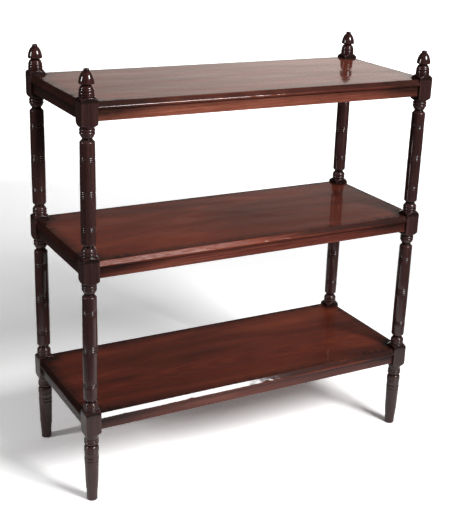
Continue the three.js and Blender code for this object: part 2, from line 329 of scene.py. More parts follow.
class Turning:
    """A lathe outline drawn upwards, one cut after another, as rows of radius and height."""

    def __init__(self, radius, height):
        self.cuts = [np.array([[radius, height]])]

    def end(self):
        """The radius and height that the last cut reached."""
        return self.cuts[-1][-1]

    def rows(self):
        """All points so far."""
        return np.concatenate(self.cuts)

    def straight(self, rise, radius=None, steps=1):
        """Radius and height change evenly."""
        start, foot = self.end()
        radius = start if radius is None else radius
        share = np.linspace(0, 1, steps + 1)[1:]
        self.cuts.append(np.stack([start + (radius - start) * share, foot + rise * share], 1))
        return self

    def bead(self, rise, swell, radius=None, steps=12):
        """Half an ellipse: height goes as 1 - cos and the swell as sin of half a turn."""
        start, foot = self.end()
        radius = start if radius is None else radius
        turn = np.linspace(0, np.pi, steps + 1)[1:]
        share = (1 - np.cos(turn)) / 2
        rows = [start + (radius - start) * share + swell * np.sin(turn), foot + rise * share]
        self.cuts.append(np.stack(rows, 1))
        return self

    def sweep(self, rise, radius, pull, steps=8):
        """A quadratic curve that rises to a radius, pulled towards a (radius, rise).

        Start, pull and end are weighted by (1 - share) squared, 2 share (1 - share), share squared.
        """
        start, foot = self.end()
        share = np.linspace(0, 1, steps + 1)[1:]
        weights = (1 - share) ** 2, 2 * share * (1 - share), share ** 2
        across = weights[0] * start + weights[1] * pull[0] + weights[2] * radius
        up = foot + weights[1] * pull[1] + weights[2] * rise
        self.cuts.append(np.stack([across, up], 1))
        return self

    def reeds(self, count, pitch, depth, steps=9):
        """Reeds side by side, a little fuller than half-round: rise = depth * |sin| to the 0.7."""
        valley, foot = self.end()
        share = np.linspace(0, count, count * steps + 1)[1:]
        rise = depth * np.abs(np.sin(np.pi * share)) ** 0.7
        self.cuts.append(np.stack([valley + rise, foot + pitch * share], 1))
        return self


# ---- uprights ----

BLOCK_HALF = 20.0
BLOCK_HEIGHT = 68.0
BLOCK_ARRIS = 0.9
SHOULDER_RADIUS = 18.2
SHOULDER_INSET = 0.3  # from a shoulder's start in to the turning beside it
SHOULDER_DROP = 10.5
CORNER_SPARE = 0.3  # the shoulder's curve ends so far outside the square's corner
CREASE_SOFTNESS = 0.35  # between shoulder and face
# rows over a shoulder, as shares of the way up to its crease, and on from it to clear of the corner
ROWS_TO_CREASE = (0, 0.2, 0.4, 0.6, 0.78, 0.9, 0.97, 1.0)
ROWS_FROM_CREASE = (0.03, 0.1, 0.25, 0.5, 1.0)
LAST_ROW = 1.35
ARRIS_RUB_SPREAD = 1.6
RIM_RUB = (0.7, 0.9)  # size and spread of the rub on the rim between shoulder and face
SEAT_WAX = 0.55  # on the first rows of a shoulder, up to this share of it:
SEAT_SHARE = 0.12
FACE_WAX = 0.15  # the flat faces keep more wax than the turned parts do
SHELF_WAX_RISE = 3.0
SHELF_OVER_BLOCK_BASE = 41.0

COLUMN_END = 17.8
COLUMN_MIDDLE = 18.4
COLUMN_NOSE = 1.5  # how much narrower a column is where its rounded end starts
WAIST = 11.7
WAIST_RUN = 10.0
COLLAR_NECK = 16.8
COLLAR_BEAD = 6.6
COLLAR_SWELLS = (1.7, 1.6)
COLLAR_QUIRK = 0.4
COLLAR_HEIGHT = 2 * (COLLAR_BEAD + COLLAR_QUIRK)
COLLAR_RUN_IN = 3.5  # from a collar to the block beside it
RING_DEPTH = 1.1
RING_GROUP_INSET = 45.0  # from a column's ends to the middles of its outer groups of rings
OUTER_RINGS = (2, 4.4)  # how many rings and how far apart
MIDDLE_RINGS = (3, 5.2)

UPRIGHT_SIDES = 64
NEAR_ARRIS_DEG = (-3.4, -2.4, -1.6, -0.9, 0.0, 0.9, 1.6, 2.4, 3.4)
NEAR_ARRIS_CLEAR_DEG = 1.2
NEIGHBOURHOOD = 3.2  # the height over which a turning is compared with its neighbours
# sinking below them by as much is full painted shade in a hollow
FULLY_PROUD = 0.9  # standing out from them by so much is full wear


def block_wear(share, crease, to_corner, on_faces, lower):
    """Wear over half a block: Gaussian rubs on its arrises and rim, wax on its faces and seat."""
    arris = bump_of(1, ARRIS_RUB_SPREAD, to_corner * BLOCK_HALF)
    arris = arris * np.clip((share - crease) * 8, 0, 1)
    rim = bump_of(*RIM_RUB, (share - crease) * SHOULDER_DROP)
    seat = SEAT_WAX * (share < SEAT_SHARE)
    wear_and_shade = np.clip(np.maximum(arris, rim) - seat - FACE_WAX, -1, 1)
    if lower:
        return wear_and_shade
    # a block's faces are darkest and dullest where they meet the shelf
    at_shelf = (share > crease) & (SHOULDER_DROP * share < SHOULDER_DROP + SHELF_WAX_RISE)
    return np.where(at_shelf & on_faces, -1.0, wear_and_shade)


def block_rows(base, turn, lower):
    """Half of a squared block: the smaller of a turned shoulder and a square with eased arrises.

    Shoulder radius: corner - (corner - start) * (1 - share) squared, over the shoulder's height.
    Square: half side / cos(turn), or the eased arris where that is nearer the axis.
    Their meeting: (shoulder + square - sqrt(gap squared + softness squared)) / 2.
    """
    corner = math.hypot(BLOCK_HALF, BLOCK_HALF) + CORNER_SPARE
    folded = np.abs((turn + np.pi / 4) % (np.pi / 2) - np.pi / 4)
    flat = BLOCK_HALF / np.cos(folded)
    centre = math.sqrt(2) * (BLOCK_HALF - BLOCK_ARRIS)
    to_corner = np.pi / 4 - folded
    eased_arris = centre * np.cos(to_corner) + np.sqrt(
        np.maximum(BLOCK_ARRIS**2 - (centre * np.sin(to_corner))**2, 0))
    on_arris = folded > math.atan2(BLOCK_HALF - BLOCK_ARRIS, BLOCK_HALF)
    square = np.where(on_arris, eased_arris, flat)
    crease = 1 - np.sqrt((corner - square) / (corner - SHOULDER_RADIUS))
    below = np.array(ROWS_TO_CREASE)[:, None] * crease
    above = crease + np.array(ROWS_FROM_CREASE)[:, None] * (LAST_ROW - crease)
    share = np.concatenate([below, above])
    shoulder = np.where(share < 1, corner - (corner - SHOULDER_RADIUS) * (1 - share)**2, corner)
    gap = shoulder - square
    radius = (shoulder + square - np.sqrt(gap**2 + CREASE_SOFTNESS**2)) / 2
    height = SHOULDER_DROP * share
    wear_and_shade = block_wear(share, crease, to_corner, ~on_arris, lower)
    if lower:
        return radius, base + height, wear_and_shade
    return radius[::-1], (base + BLOCK_HEIGHT - height)[::-1], wear_and_shade[::-1]


def collar(draw, order):
    """Two beads beside a block, the fuller one lower in order 1, with a fine quirk above each."""
    for swell in COLLAR_SWELLS[::order]:
        draw.bead(COLLAR_BEAD, swell, COLLAR_NECK, 12)
        draw.straight(COLLAR_QUIRK)


def column(draw, foot, head, to):
    """A stretch of column that swells by a sine from its ends to its middle."""
    heights = np.linspace(draw.end()[1], to, 7)[1:]
    swell = np.sin(np.pi * (heights - foot) / (head - foot))
    draw.cuts.append(np.stack([COLUMN_END + (COLUMN_MIDDLE - COLUMN_END) * swell, heights], 1))


def ring_group(draw, foot, head, middle, count, pitch):
    """Fine rings turned on a column: reeds between two scored lines, centred on a height."""
    score = 1.0
    column(draw, foot, head, middle - count * pitch / 2 - score)
    crest = draw.end()[0]
    draw.sweep(score, crest - RING_DEPTH, (crest, 0.9), 4)
    draw.reeds(count, pitch, RING_DEPTH)
    draw.sweep(score, crest, (crest, 0.1), 4)


def bay_outline(low, high):
    """One bay of an upright: collar, waist, column with three groups of rings, waist, collar."""
    start = SHOULDER_RADIUS - SHOULDER_INSET
    draw = Turning(start, low)
    draw.sweep(3.1, COLLAR_NECK, (COLLAR_NECK - 0.3, 0.6), 6)
    collar(draw, 1)
    draw.sweep(6.0, WAIST, (COLLAR_NECK - 0.4, 2.6), 10)
    foot = draw.end()[1] + 0.6
    draw.sweep(1.6, WAIST + 0.35, (WAIST - 0.5, 0.8), 6)
    draw.straight(4.6, COLUMN_END - COLUMN_NOSE, 3).sweep(3.4, COLUMN_END, (COLUMN_END, 1.3), 8)
    head = high - COLLAR_RUN_IN - COLLAR_HEIGHT - WAIST_RUN
    for middle, rings in ((foot + RING_GROUP_INSET, OUTER_RINGS), ((foot + head) / 2, MIDDLE_RINGS),
                          (head - RING_GROUP_INSET, OUTER_RINGS)):
        ring_group(draw, foot, head, middle, *rings)
    column(draw, foot, head, head - 8.6)
    draw.sweep(3.4, COLUMN_END - COLUMN_NOSE, (COLUMN_END, 2.1), 8)
    draw.straight(4.6, WAIST + 0.35, 3).sweep(1.6, WAIST, (WAIST - 0.5, 0.8), 6)
    collar_foot = high - COLLAR_RUN_IN - COLLAR_HEIGHT
    draw.sweep(collar_foot - draw.end()[1], COLLAR_NECK, (COLLAR_NECK - 0.4, 5.0), 10)
    collar(draw, -1)
    draw.sweep(high - draw.end()[1], start, (COLLAR_NECK - 0.3, 2.5), 6)
    return draw.rows()


def foot_outline(high):
    """The turned foot: a rounded toe, a long taper, two scored bands, a waist and a collar."""
    draw = Turning(11.4, 0.0)
    draw.sweep(2.4, 13.7, (13.6, 0.1), 8)
    draw.sweep(26.0, 14.6, (13.9, 14.0), 6).sweep(22.0, 16.4, (15.6, 9.0), 6)
    draw.sweep(62.0, 18.0, (17.0, 20.0), 12)
    draw.sweep(1.6, 17.1, (17.9, 1.4), 5).sweep(1.2, 17.9, (17.1, 0.2), 5)
    draw.bead(7.6, 0.55, 17.9, 12)
    draw.sweep(1.2, 17.1, (17.9, 1.0), 5).sweep(1.4, 18.0, (17.2, 0.2), 5)
    draw.straight(12.4, 18.0, 3)
    draw.sweep(1.4, 17.2, (18.0, 1.2), 5).sweep(1.2, 18.1, (17.3, 0.2), 5)
    draw.bead(7.2, 0.9, 18.1, 12)
    draw.bead(6.0, 0.8, 17.6, 10)
    draw.sweep(4.2, 14.3, (17.4, 2.6), 8).sweep(4.0, COLLAR_NECK, (14.2, 2.2), 8)
    collar(draw, 1)
    start = SHOULDER_RADIUS - SHOULDER_INSET
    draw.sweep(high - draw.end()[1], start, (COLLAR_NECK - 0.4, 1.5), 6)
    return draw.rows()


def hollow_shade_and_wear(radius, height):
    """How far each row stands proud of its neighbours: radius less its mean over a few millimetres.

    The mean is a Gaussian one over the neighbourhood's height. Rows below it are darkened as
    painted shade in the hollows, along with old wax there; rows above it are rubbed lighter.
    """
    middle = height.mean(axis=1)
    spacing = np.abs(np.gradient(middle))
    apart = middle[:, None] - middle[None, :]
    weight = np.exp(-(apart / NEIGHBOURHOOD)**2) * spacing[None, :]
    mean = (weight @ radius) / weight.sum(axis=1, keepdims=True)
    return np.clip((radius - mean) / FULLY_PROUD, -1, 1)


def turned_piece(name, axis, radius, height, turn, wear_and_shade, material):
    """A surface round an axis, closed at both poles: place = axis + radius * (cos, sin) of turn."""
    rows, columns = radius.shape
    x = axis[0] + radius * np.cos(turn)
    y = axis[1] + radius * np.sin(turn)
    skin = np.stack([x, y, height], -1).reshape(-1, 3)
    poles = [[*axis, height[0].mean()], [*axis, height[-1].mean()]]
    low_pole, high_pole = (np.full(columns, rows * columns + i) for i in (0, 1))
    ring = np.arange(columns)
    following = np.roll(ring, -1)
    top = (rows - 1) * columns
    faces = grid_faces(rows, columns, True).tolist()
    faces += np.stack([low_pole, following, ring], 1).tolist()
    faces += np.stack([high_pole, top + ring, top + following], 1).tolist()
    return piece(name, np.concatenate([skin, poles]), faces,
                 np.concatenate([wear_and_shade.ravel(), [0, 0]]), material)


def turns_round(count, near_corners):
    """Turns round the axis: an even ring, with more of them close to a block's four arrises."""
    even = np.arange(count) * 2 * np.pi / count
    corner = np.pi / 4 + np.arange(4) * np.pi / 2
    close = (corner[:, None] + np.radians(near_corners)[None, :]).ravel() % (2 * np.pi)
    clear = np.radians(max(near_corners) + NEAR_ARRIS_CLEAR_DEG)
    kept = [turn for turn in even
            if np.min(np.abs((turn - corner + np.pi) % (2 * np.pi) - np.pi)) > clear]
    return np.sort(np.concatenate([kept, close]))


def make_uprights(material):
    """The four uprights, each one grid of rows from the foot to the top of its last block."""
    turn = turns_round(UPRIGHT_SIDES, NEAR_ARRIS_DEG)
    bases = [node_box(f"shelf_{tier}")[0][2] - SHELF_OVER_BLOCK_BASE for tier in TIERS]
    outlines = [foot_outline(bases[0])]
    outlines += [bay_outline(low + BLOCK_HEIGHT, high) for low, high in zip(bases, bases[1:])]
    parts = []
    for outline, base in zip(outlines, bases):
        turned = [outline[:-1, i:i + 1] * np.ones(len(turn)) for i in (0, 1)]
        parts.append((*turned, hollow_shade_and_wear(*turned)))
        parts += [block_rows(base, turn, lower) for lower in (True, False)]
    radius, height, wear_and_shade = (np.concatenate(rows) for rows in zip(*parts))
    for corner in CORNERS:
        low, high = node_box(f"post_{corner}")
        made = turned_piece(f"upright_{corner}", (low + high)[:2] / 2, radius, height, turn, wear_and_shade,
                            material)
        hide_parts(f"post_{corner}")


# ---- finials ----

FINIAL_SIDES = 72


def finial_outline(seat):
    """An acorn finial: a disc, two beads, a dome, a thin neck, the acorn's cap and its button."""
    draw = Turning(16.8, seat + 0.3)
    draw.sweep(1.0, 18.1, (18.0, 0.1), 5).straight(2.2).sweep(0.8, 17.0, (18.1, 0.8), 5)
    draw.bead(6.8, 1.4, 16.7, 14).straight(0.3).bead(6.8, 1.2, 16.0, 14)
    draw.straight(0.3).sweep(8.6, 8.8, (15.9, 5.2), 14)
    draw.sweep(1.6, 9.4, (8.0, 1.0), 5)
    draw.sweep(-0.1, 15.6, (12.5, 0.5), 6).sweep(3.2, 18.2, (18.1, 0.2), 10)
    draw.sweep(25.7, 7.2, (16.3, 18.5), 26)
    draw.sweep(0.9, 6.5, (6.3, 0.3), 4).sweep(1.9, 7.1, (7.1, 0.4), 7)
    draw.sweep(2.9, 0.4, (7.0, 2.9), 12)
    return draw.rows()


def make_finials(material):
    """The four finials, turned alike."""
    turn = np.arange(FINIAL_SIDES) * 2 * np.pi / FINIAL_SIDES
    for corner in CORNERS:
        low, high = node_box(f"finial_{corner}")
        rows = finial_outline(node_box(f"post_{corner}")[1][2])
        radius, height = (rows[:, i:i + 1] * np.ones(FINIAL_SIDES) for i in (0, 1))
        made = turned_piece(f"acorn_{corner}", (low + high)[:2] / 2, radius, height, turn,
                            hollow_shade_and_wear(radius, height), material)
        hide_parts(f"finial_{corner}")


# ---- shelves ----

EDGE_FILLET = 5.0
BEVEL_RUN = 8.0
FLAT_RUN = 2.0  # of the flat top that belongs to an edge's section
UNDER_ARRIS = 0.6
ARRIS_EASES = (0.5, 1.3, 0.9)
SECTION_STEP = 1.6
BOARD_STEP = 6
NOTCH_CLEARANCE = 0.3
WANDER_WAVES = 12
WANDER_SIZE = 3.2  # so many waves added keep mostly within it
# how a hand-planed edge wanders: the spread up the section, how far, the shortest and longest wave
ARRIS_WANDER = (3.5, 0.30, 26, 240)
BEVEL_WANDER = (3.0, 0.07, 18, 120)
MOST_PROUD = 0.35
CALM_END = 12  # an edge runs true over so much of its length beside a block

# how much wax lies on a bevel and on the fillet under it, how far the arris between them is rubbed,
# and how much wax lies there at most, next to the blocks, by tier and side: the front edges (0)
# are handled and stay bright; the ends and backs are dark and dull, old wax with painted shade, as
# little light reaches the left ends
EDGE_WEAR_AND_SHADE = {("bottom", 0): (0.62, 0.3, 0.1, 0.72), ("middle", 0): (0.64, 0.3, 0.1, 0.92),
             ("top", 0): (0.54, 0.4, 0.2, 0.92), "rest": (0.92, 0.92, 0.4, 0.92)}
EDGE_RUB_SPREAD = 1.2
BLOCK_WAX = (0.6, 90)  # how much more wax lies on an edge beside a block, and its spread
# hands and hems have worn this bevel through, by so much at these shares of its half length
SCUFFED = ("middle", 0)
SCUFF_AT = (-1, -0.93, -0.8, -0.45, -0.1, 0.05, 0.3)
SCUFF = (0.7, 0.7, 1, 1, 0.6, 0.15, 0)
# a board is darker round each block, by so much and over so far; old polish and dust gather along
# the edges, and on the bottom board in a broad band along the front, next to the floor's dust
DARK_ROUND_BLOCKS = (0.85, 19)
EDGE_DIRT = (0.5, 13)
FRONT_DIRT = (0.46, 48)


def wander(places, seed, shortest, longest):
    """A slow random line: sines of wavelengths between two limits, with random turns and sizes."""
    draw = np.random.default_rng(seed)
    lengths = np.geomspace(shortest, longest, WANDER_WAVES)
    turns = draw.uniform(0, 2 * np.pi, WANDER_WAVES)
    waves = np.sin(2 * np.pi * places[:, None] / lengths[None, :] + turns[None, :])
    return (waves * draw.uniform(0.4, 1.0, WANDER_WAVES)).sum(axis=1) / WANDER_SIZE


def eased(corners, eases, steps=5):
    """A broken line whose inner corners are rounded by quadratic curves over given lengths."""
    rows = [corners[0]]
    for before, here, after, ease in zip(corners, corners[1:], corners[2:], eases):
        before, here, after = (np.array(p, float) for p in (before, here, after))
        start = here + (before - here) / np.linalg.norm(before - here) * ease
        end = here + (after - here) / np.linalg.norm(after - here) * ease
        share = np.linspace(0, 1, steps)[:, None]
        rows += list((1 - share)**2 * start + 2 * share * (1 - share) * here + share**2 * end)
    rows.append(corners[-1])
    return np.array(rows, float)


def filled(rows, longest):
    """A broken line with points added so that none of its steps is longer than a given length."""
    parts = [rows[:1]]
    for start, end in zip(rows, rows[1:]):
        steps = max(1, math.ceil(np.linalg.norm(end - start) / longest))
        share = np.linspace(0, 1, steps + 1)[1:, None]
        parts.append(start + (end - start) * share)
    return np.concatenate(parts)


def edge_wear_and_shade(height, along, half_length, thickness, worn_and_shaded, scuffed):
    """Wear by height on an edge's section and by place along it.

    The rub on the arris and the wax towards the blocks are Gaussian bumps. The ends and backs carry
    painted shade with their wax. Where the polish is scuffed through, wear goes from its own value
    to
    1 + the depth of the scuff.
    """
    on_bevel, under, rubbed, most = worn_and_shaded
    # the wax on the bevel fades over its two arrises
    fades = (EDGE_FILLET - 0.6, EDGE_FILLET + 1, thickness - 1.2, thickness + 0.4)
    wax_and_shade = np.interp(height, fades, (under, on_bevel, on_bevel, 0))
    rub = bump_of(rubbed, EDGE_RUB_SPREAD, height - EDGE_FILLET)
    wear_and_shade = np.repeat((rub - wax_and_shade)[:, None], len(along), 1)
    more = bump_of(*BLOCK_WAX, half_length - np.abs(along))
    wear_and_shade = np.maximum(wear_and_shade - more[None, :] * (wax_and_shade > 0)[:, None], np.minimum(wear_and_shade, -most))
    if scuffed:
        # the scuff fades out below the top arris
        low = np.clip((thickness - 0.8 - height) / 2.5, 0, 1) * (height > EDGE_FILLET - 1)
        through = low[:, None] * np.interp(along / half_length, SCUFF_AT, SCUFF)
        wear_and_shade += (1 + through - wear_and_shade) * np.clip(through * 2.5, 0, 1)
    return wear_and_shade


def shelf_edge(half_length, half_depth, thickness, inner, seed, turns, worn_and_shaded, scuffed):
    """One moulded edge of a shelf and its two end walls, turned a number of quarter turns.

    Each row is a point of the section, (inset, height): fillet, eased arris, bevel, eased arris.
    The lower arris wanders by a few tenths of a millimetre along the edge, as planed by hand, and
    the bevel by less: inset = the section's - a Gaussian bump round each * its wander.
    """
    section = eased([(UNDER_ARRIS, 0), (0, UNDER_ARRIS), (0, EDGE_FILLET), (BEVEL_RUN, thickness),
                     (BEVEL_RUN + FLAT_RUN, thickness)], ARRIS_EASES, 6)
    section = filled(section, SECTION_STEP)
    height = section[:, 1]
    count = int(half_length * 2 / BOARD_STEP) + 1
    along = np.linspace(-half_length, half_length, count)
    drift = 0
    for (spread, size, shortest, longest), middle, other in (
            (ARRIS_WANDER, EDGE_FILLET, 0), (BEVEL_WANDER, (EDGE_FILLET + thickness) / 2, 9)):
        here = bump_of(size, spread, height - middle)[:, None]
        drift = drift + here * wander(along, seed + other, shortest, longest)
    calm = np.clip((half_length - np.abs(along)) / CALM_END, 0, 1)
    inset = section[:, :1] - np.minimum(drift * calm, section[:, :1] + MOST_PROUD)
    x = np.broadcast_to(along, inset.shape)
    z = np.broadcast_to(section[:, 1:], inset.shape)
    points = np.stack([x, inset - half_depth, z], -1).reshape(-1, 3)
    # the end walls run in to the shelf's notches
    walls = [(end, inner, up) for end in (-half_length, half_length) for up in (0, thickness)]
    first = len(points)
    left = [row * count for row in range(len(section))]
    right = [row * count + count - 1 for row in range(len(section))]
    faces = grid_faces(len(section), count, False).tolist()
    faces.append([right[0], first + 2, first + 3] + right[::-1][:-1])
    faces.append([first + 1, first] + left)
    wear_and_shade = edge_wear_and_shade(height, along, half_length, thickness, worn_and_shaded, scuffed)
    wear_and_shade = np.concatenate([wear_and_shade.ravel(), [-1] * len(walls)])
    turn = turns * np.pi / 2
    spin = np.array([[math.cos(turn), -math.sin(turn), 0], [math.sin(turn), math.cos(turn), 0],
                     [0, 0, 1]])
    return np.concatenate([points, walls]) @ spin.T, faces, wear_and_shade


def panel(xs, ys, z, up):
    """A flat grid at one height, facing up or down."""
    x, y = np.meshgrid(xs, ys)
    points = np.stack([x, y, np.full(x.shape, z)], -1).reshape(-1, 3)
    faces = grid_faces(len(ys), len(xs), False)
    return points, (faces if up else faces[:, ::-1]).tolist(), np.zeros(len(points))


def joined(parts):
    """Parts put together as one skin, points at the same place made one."""
    points, faces, wear_and_shade = [], [], []
    start = 0
    for part_points, part_faces, part_wear in parts:
        points.append(part_points)
        wear_and_shade.append(part_wear)
        faces += [[start + i for i in face] for face in part_faces]
        start += len(part_points)
    points, wear_and_shade = np.concatenate(points), np.concatenate(wear_and_shade)
    _, first, where = np.unique(np.round(points, 3), axis=0, return_index=True,
                                return_inverse=True)
    where = where.ravel()
    return points[first], [[int(where[i]) for i in face] for face in faces], wear_and_shade[first]


def board_wear(points, wear_and_shade, tier, half, notch, thickness):
    """Wear of a shelf with the darkening on its top: Gaussian bumps of the distance to blocks,
    edges and front.
    """
    across = np.abs(points[:, :2])
    to_block = np.hypot(*np.maximum(notch - across, 0).T)
    to_edge = np.min(half - BEVEL_RUN - across, axis=1)
    darkening = np.maximum(bump_of(*DARK_ROUND_BLOCKS, to_block), bump_of(*EDGE_DIRT, to_edge))
    if tier == "bottom":
        to_front = points[:, 1] + half[1] - BEVEL_RUN
        darkening = np.maximum(darkening, bump_of(*FRONT_DIRT, to_front))
    return np.where(points[:, 2] > thickness - 0.1, np.clip(wear_and_shade - darkening, -1, 1), wear_and_shade)


def make_shelves(materials):
    """The three shelves: moulded on four edges, notched round the blocks, flat above and below."""
    axis = sum(node_box("post_back_right")) / 2
    notch = axis[:2] - BLOCK_HALF - NOTCH_CLEARANCE
    for number, tier in enumerate(TIERS):
        low, high = node_box(f"shelf_{tier}")
        half = high[:2]
        thickness = high[2] - low[2]
        parts = []
        for turns in range(4):
            long, deep = (0, 1) if turns % 2 == 0 else (1, 0)
            worn_and_shaded = EDGE_WEAR_AND_SHADE.get((tier, turns), EDGE_WEAR_AND_SHADE["rest"])
            parts.append(shelf_edge(notch[long], half[deep], thickness, -notch[deep],
                                    40 * number + turns + 1, turns, worn_and_shaded, (tier, turns) == SCUFFED))
        xs, ys = (np.linspace(-end, end, int(end * 2 / BOARD_STEP) + 1) for end in notch)
        for z, inset, up in ((thickness, BEVEL_RUN + FLAT_RUN, True), (0, UNDER_ARRIS, False)):
            edge_x, edge_y = half - inset
            parts.append(panel(xs, np.concatenate([[-edge_y], ys, [edge_y]]), z, up))
            parts.append(panel([-edge_x, -notch[0]], ys, z, up))
            parts.append(panel([notch[0], edge_x], ys, z, up))
        points, faces, wear_and_shade = joined(parts)
        wear_and_shade = board_wear(points, wear_and_shade, tier, half, notch, thickness)
        made = piece(f"board_{tier}", points + [0, 0, low[2]], faces, wear_and_shade,
                     materials[tier], 30.0)
        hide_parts(f"shelf_{tier}")


# ---- rails ----

RAIL_ARRIS = 1.1
RAIL_STEP = 12
TENON_LENGTH = 14.0
RAIL_RUB = 0.35
# painted shade, not wax, on the topmost part of a rail under the shelf, by so much:
RAIL_TOP_SHADE = 0.4  # on the topmost part of a rail, under the shelf
RAIL_TOP = 1.5
RAIL_BLOCK_WAX = (0.6, 130)  # how much wax lies on a rail beside a block, and its spread


def rail_wear_and_shade(section, along, reach, width, tall):
    """Wear of a rail: arrises rubbed, painted shade along its top under the shelf, wax near the
    blocks.
    """
    from_side = width / 2 - np.abs(section[:, 0])
    from_edge = tall / 2 - np.abs(section[:, 1])
    rub = np.where(from_side + from_edge < 2 * RAIL_ARRIS, RAIL_RUB, 0.0)
    # painted shade: a dark line along the top of the rail, where it runs under the shelf
    rub = np.where(section[:, 1] > tall / 2 - RAIL_TOP, -RAIL_TOP_SHADE, rub)
    wax_and_shade = bump_of(*RAIL_BLOCK_WAX, reach - np.abs(along))
    return np.clip(rub[None, :] - wax_and_shade[:, None], -1, 1).ravel()


def make_rails(long_materials, shaded_side_material):
    """The rails: a section with eased arrises carried from post to post, with flat ends."""
    for tier in TIERS:
        for side in SIDES:
            node = f"rail_{tier}_{side}"
            low, high = node_box(node)
            sideways = side in ("left", "right")
            length, width, tall = (high - low)[[1, 0, 2] if sideways else [0, 1, 2]]
            reach = length / 2 - TENON_LENGTH
            # the section's line starts and ends in the middle of its underside
            square = np.array([(0, -tall), (width, -tall), (width, tall), (-width, tall),
                               (-width, -tall), (0, -tall)]) / 2
            section = eased(square.tolist(), (RAIL_ARRIS,) * 4, 5)[:-1]
            rows, columns = int(reach * 2 / RAIL_STEP) + 1, len(section)
            along = np.linspace(-reach, reach, rows)
            x = np.repeat(along[:, None], columns, 1)
            y, z = (np.repeat(section[None, :, i], rows, 0) for i in (0, 1))
            points = np.stack([-y, x, z] if sideways else [x, y, z], -1).reshape(-1, 3)
            faces = grid_faces(rows, columns, True)[:, ::-1].tolist()
            ring = list(range(columns))
            faces.append(ring)
            faces.append([(rows - 1) * columns + i for i in ring[::-1]])
            # the side rails take the darker finish, which is painted shade
            made = piece(f"{side}_rail_{tier}", points + (low + high) / 2, faces,
                         rail_wear_and_shade(section, along, reach, width, tall),
                         shaded_side_material if sideways else long_materials[tier], 40.0)
            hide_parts(node)


# ---- floor, backdrop and lamps ----

# metres here, and most places are turned to the camera's heading: across it, and away from it
CAMERA_WHITE = 1.5  # what the camera sees of the floor stays white in dim light
PAPER_WHITE = 0.88
STUDIO_DARK = 0.06
PAPER_SIDES = (0.75, 1.3)  # where the paper starts to fade out to a side, and where it is gone
PAPER_FRONT = (-1.1, -0.5)  # where it starts in front, and where it is full
PAPER_BACK = (0.6, 2.4)  # the stretch over which the polish sees it light up, to this level:
PAPER_BACK_GLOW = 0.5
SHADOW_MIDDLE = (0.3, -0.2, 0.0)  # not turned: round it the floor keeps its shadows,
SHADOW_FADES = (1.5, 4.0)  # and over these distances it goes to full white
# a painted shadow on the paper: round this place the camera's glow is held back, to this level
PAINTED_SHADOW_PATCH = (-0.9, 1.9, 0.0)
PAINTED_SHADOW_FADES = (0.6, 1.3)
PAINTED_SHADOW_WHITE = 0.5
SWEEP_RADIUS = 0.6
SWEEP_WALL, SWEEP_FRONT, SWEEP_SIDE, SWEEP_TOP = 3.0, -6.0, 7.0, 1.0
ROOM_LIGHT = 0.2
ROOM_GLOSS = 0.05
PAPER_GLOSS = 1.25
PAPER_WARMTH = "#fff2ea"
STRIP_TURN_DEG = 12.0  # the bright strip that gloss sees, from the camera's heading
STRIP_SIDES = (0.82, 0.97)  # cosines of the turns from its middle over which it fades
STRIP_TOP = (0.13, 0.34)  # and sines of the tilts


def studio_white():
    """A matt white paper square to the camera, 1.5 m wide with soft sides, on a dark studio floor.

    Light and gloss see the paper end in front and at its sides, so the polish stays deep. The
    camera sees the whole floor white, and further off fully white, but for a painted shadow: a
    grey patch behind the piece on the left.
    """
    material, tree, place = new_material("white_paper_sweep")
    path = tree.nodes.new("ShaderNodeLightPath")
    camera, gloss = path.outputs["Is Camera Ray"], path.outputs["Is Glossy Ray"]
    square = add(tree, "ShaderNodeMapping", {
        "Vector": place, "Rotation": (0, 0, math.radians(CAMERA_TURN_DEG[0]))})
    across, depth = (add(tree, "ShaderNodeSeparateXYZ", {"Vector": square}, out=axis)
                     for axis in "XY")
    width = remap(tree, reckon(tree, "ABSOLUTE", across), *PAPER_SIDES, 1.0, 0.0)
    laid = reckon(tree, "MULTIPLY", width, remap(tree, depth, *PAPER_FRONT, 0.0, 1.0))
    paper = remap(tree, laid, 0.0, 1.0, STUDIO_DARK, PAPER_WHITE)
    white = remap(tree, camera, 0.0, 1.0, paper, CAMERA_WHITE)
    # painted shadow: the paper is kept a little grey in a patch behind the piece on the left, where
    # the glow that whitens it for the camera is held back
    patch = add(tree, "ShaderNodeVectorMath", {0: square, 1: PAINTED_SHADOW_PATCH}, out="Value",
                operation="DISTANCE")
    painted_shadow_glow = remap(tree, patch, *PAINTED_SHADOW_FADES, PAINTED_SHADOW_WHITE, 1.0)
    away = add(tree, "ShaderNodeVectorMath", {0: place, 1: SHADOW_MIDDLE}, out="Value",
               operation="DISTANCE")
    glow = remap(tree, away, *SHADOW_FADES, 0.0, painted_shadow_glow)
    behind = remap(tree, depth, *PAPER_BACK, 0.0, PAPER_BACK_GLOW)
    shown = reckon(tree, "MULTIPLY", reckon(tree, "MULTIPLY", behind, gloss), laid)
    seen = reckon(tree, "MULTIPLY_ADD", glow, camera, shown)
    matt = add(tree, "ShaderNodeBsdfDiffuse", {"Color": white})
    lit = add(tree, "ShaderNodeEmission", {"Strength": seen})
    both = add(tree, "ShaderNodeAddShader", {0: matt, 1: lit})
    add(tree, "ShaderNodeOutputMaterial", {"Surface": both})
    return material


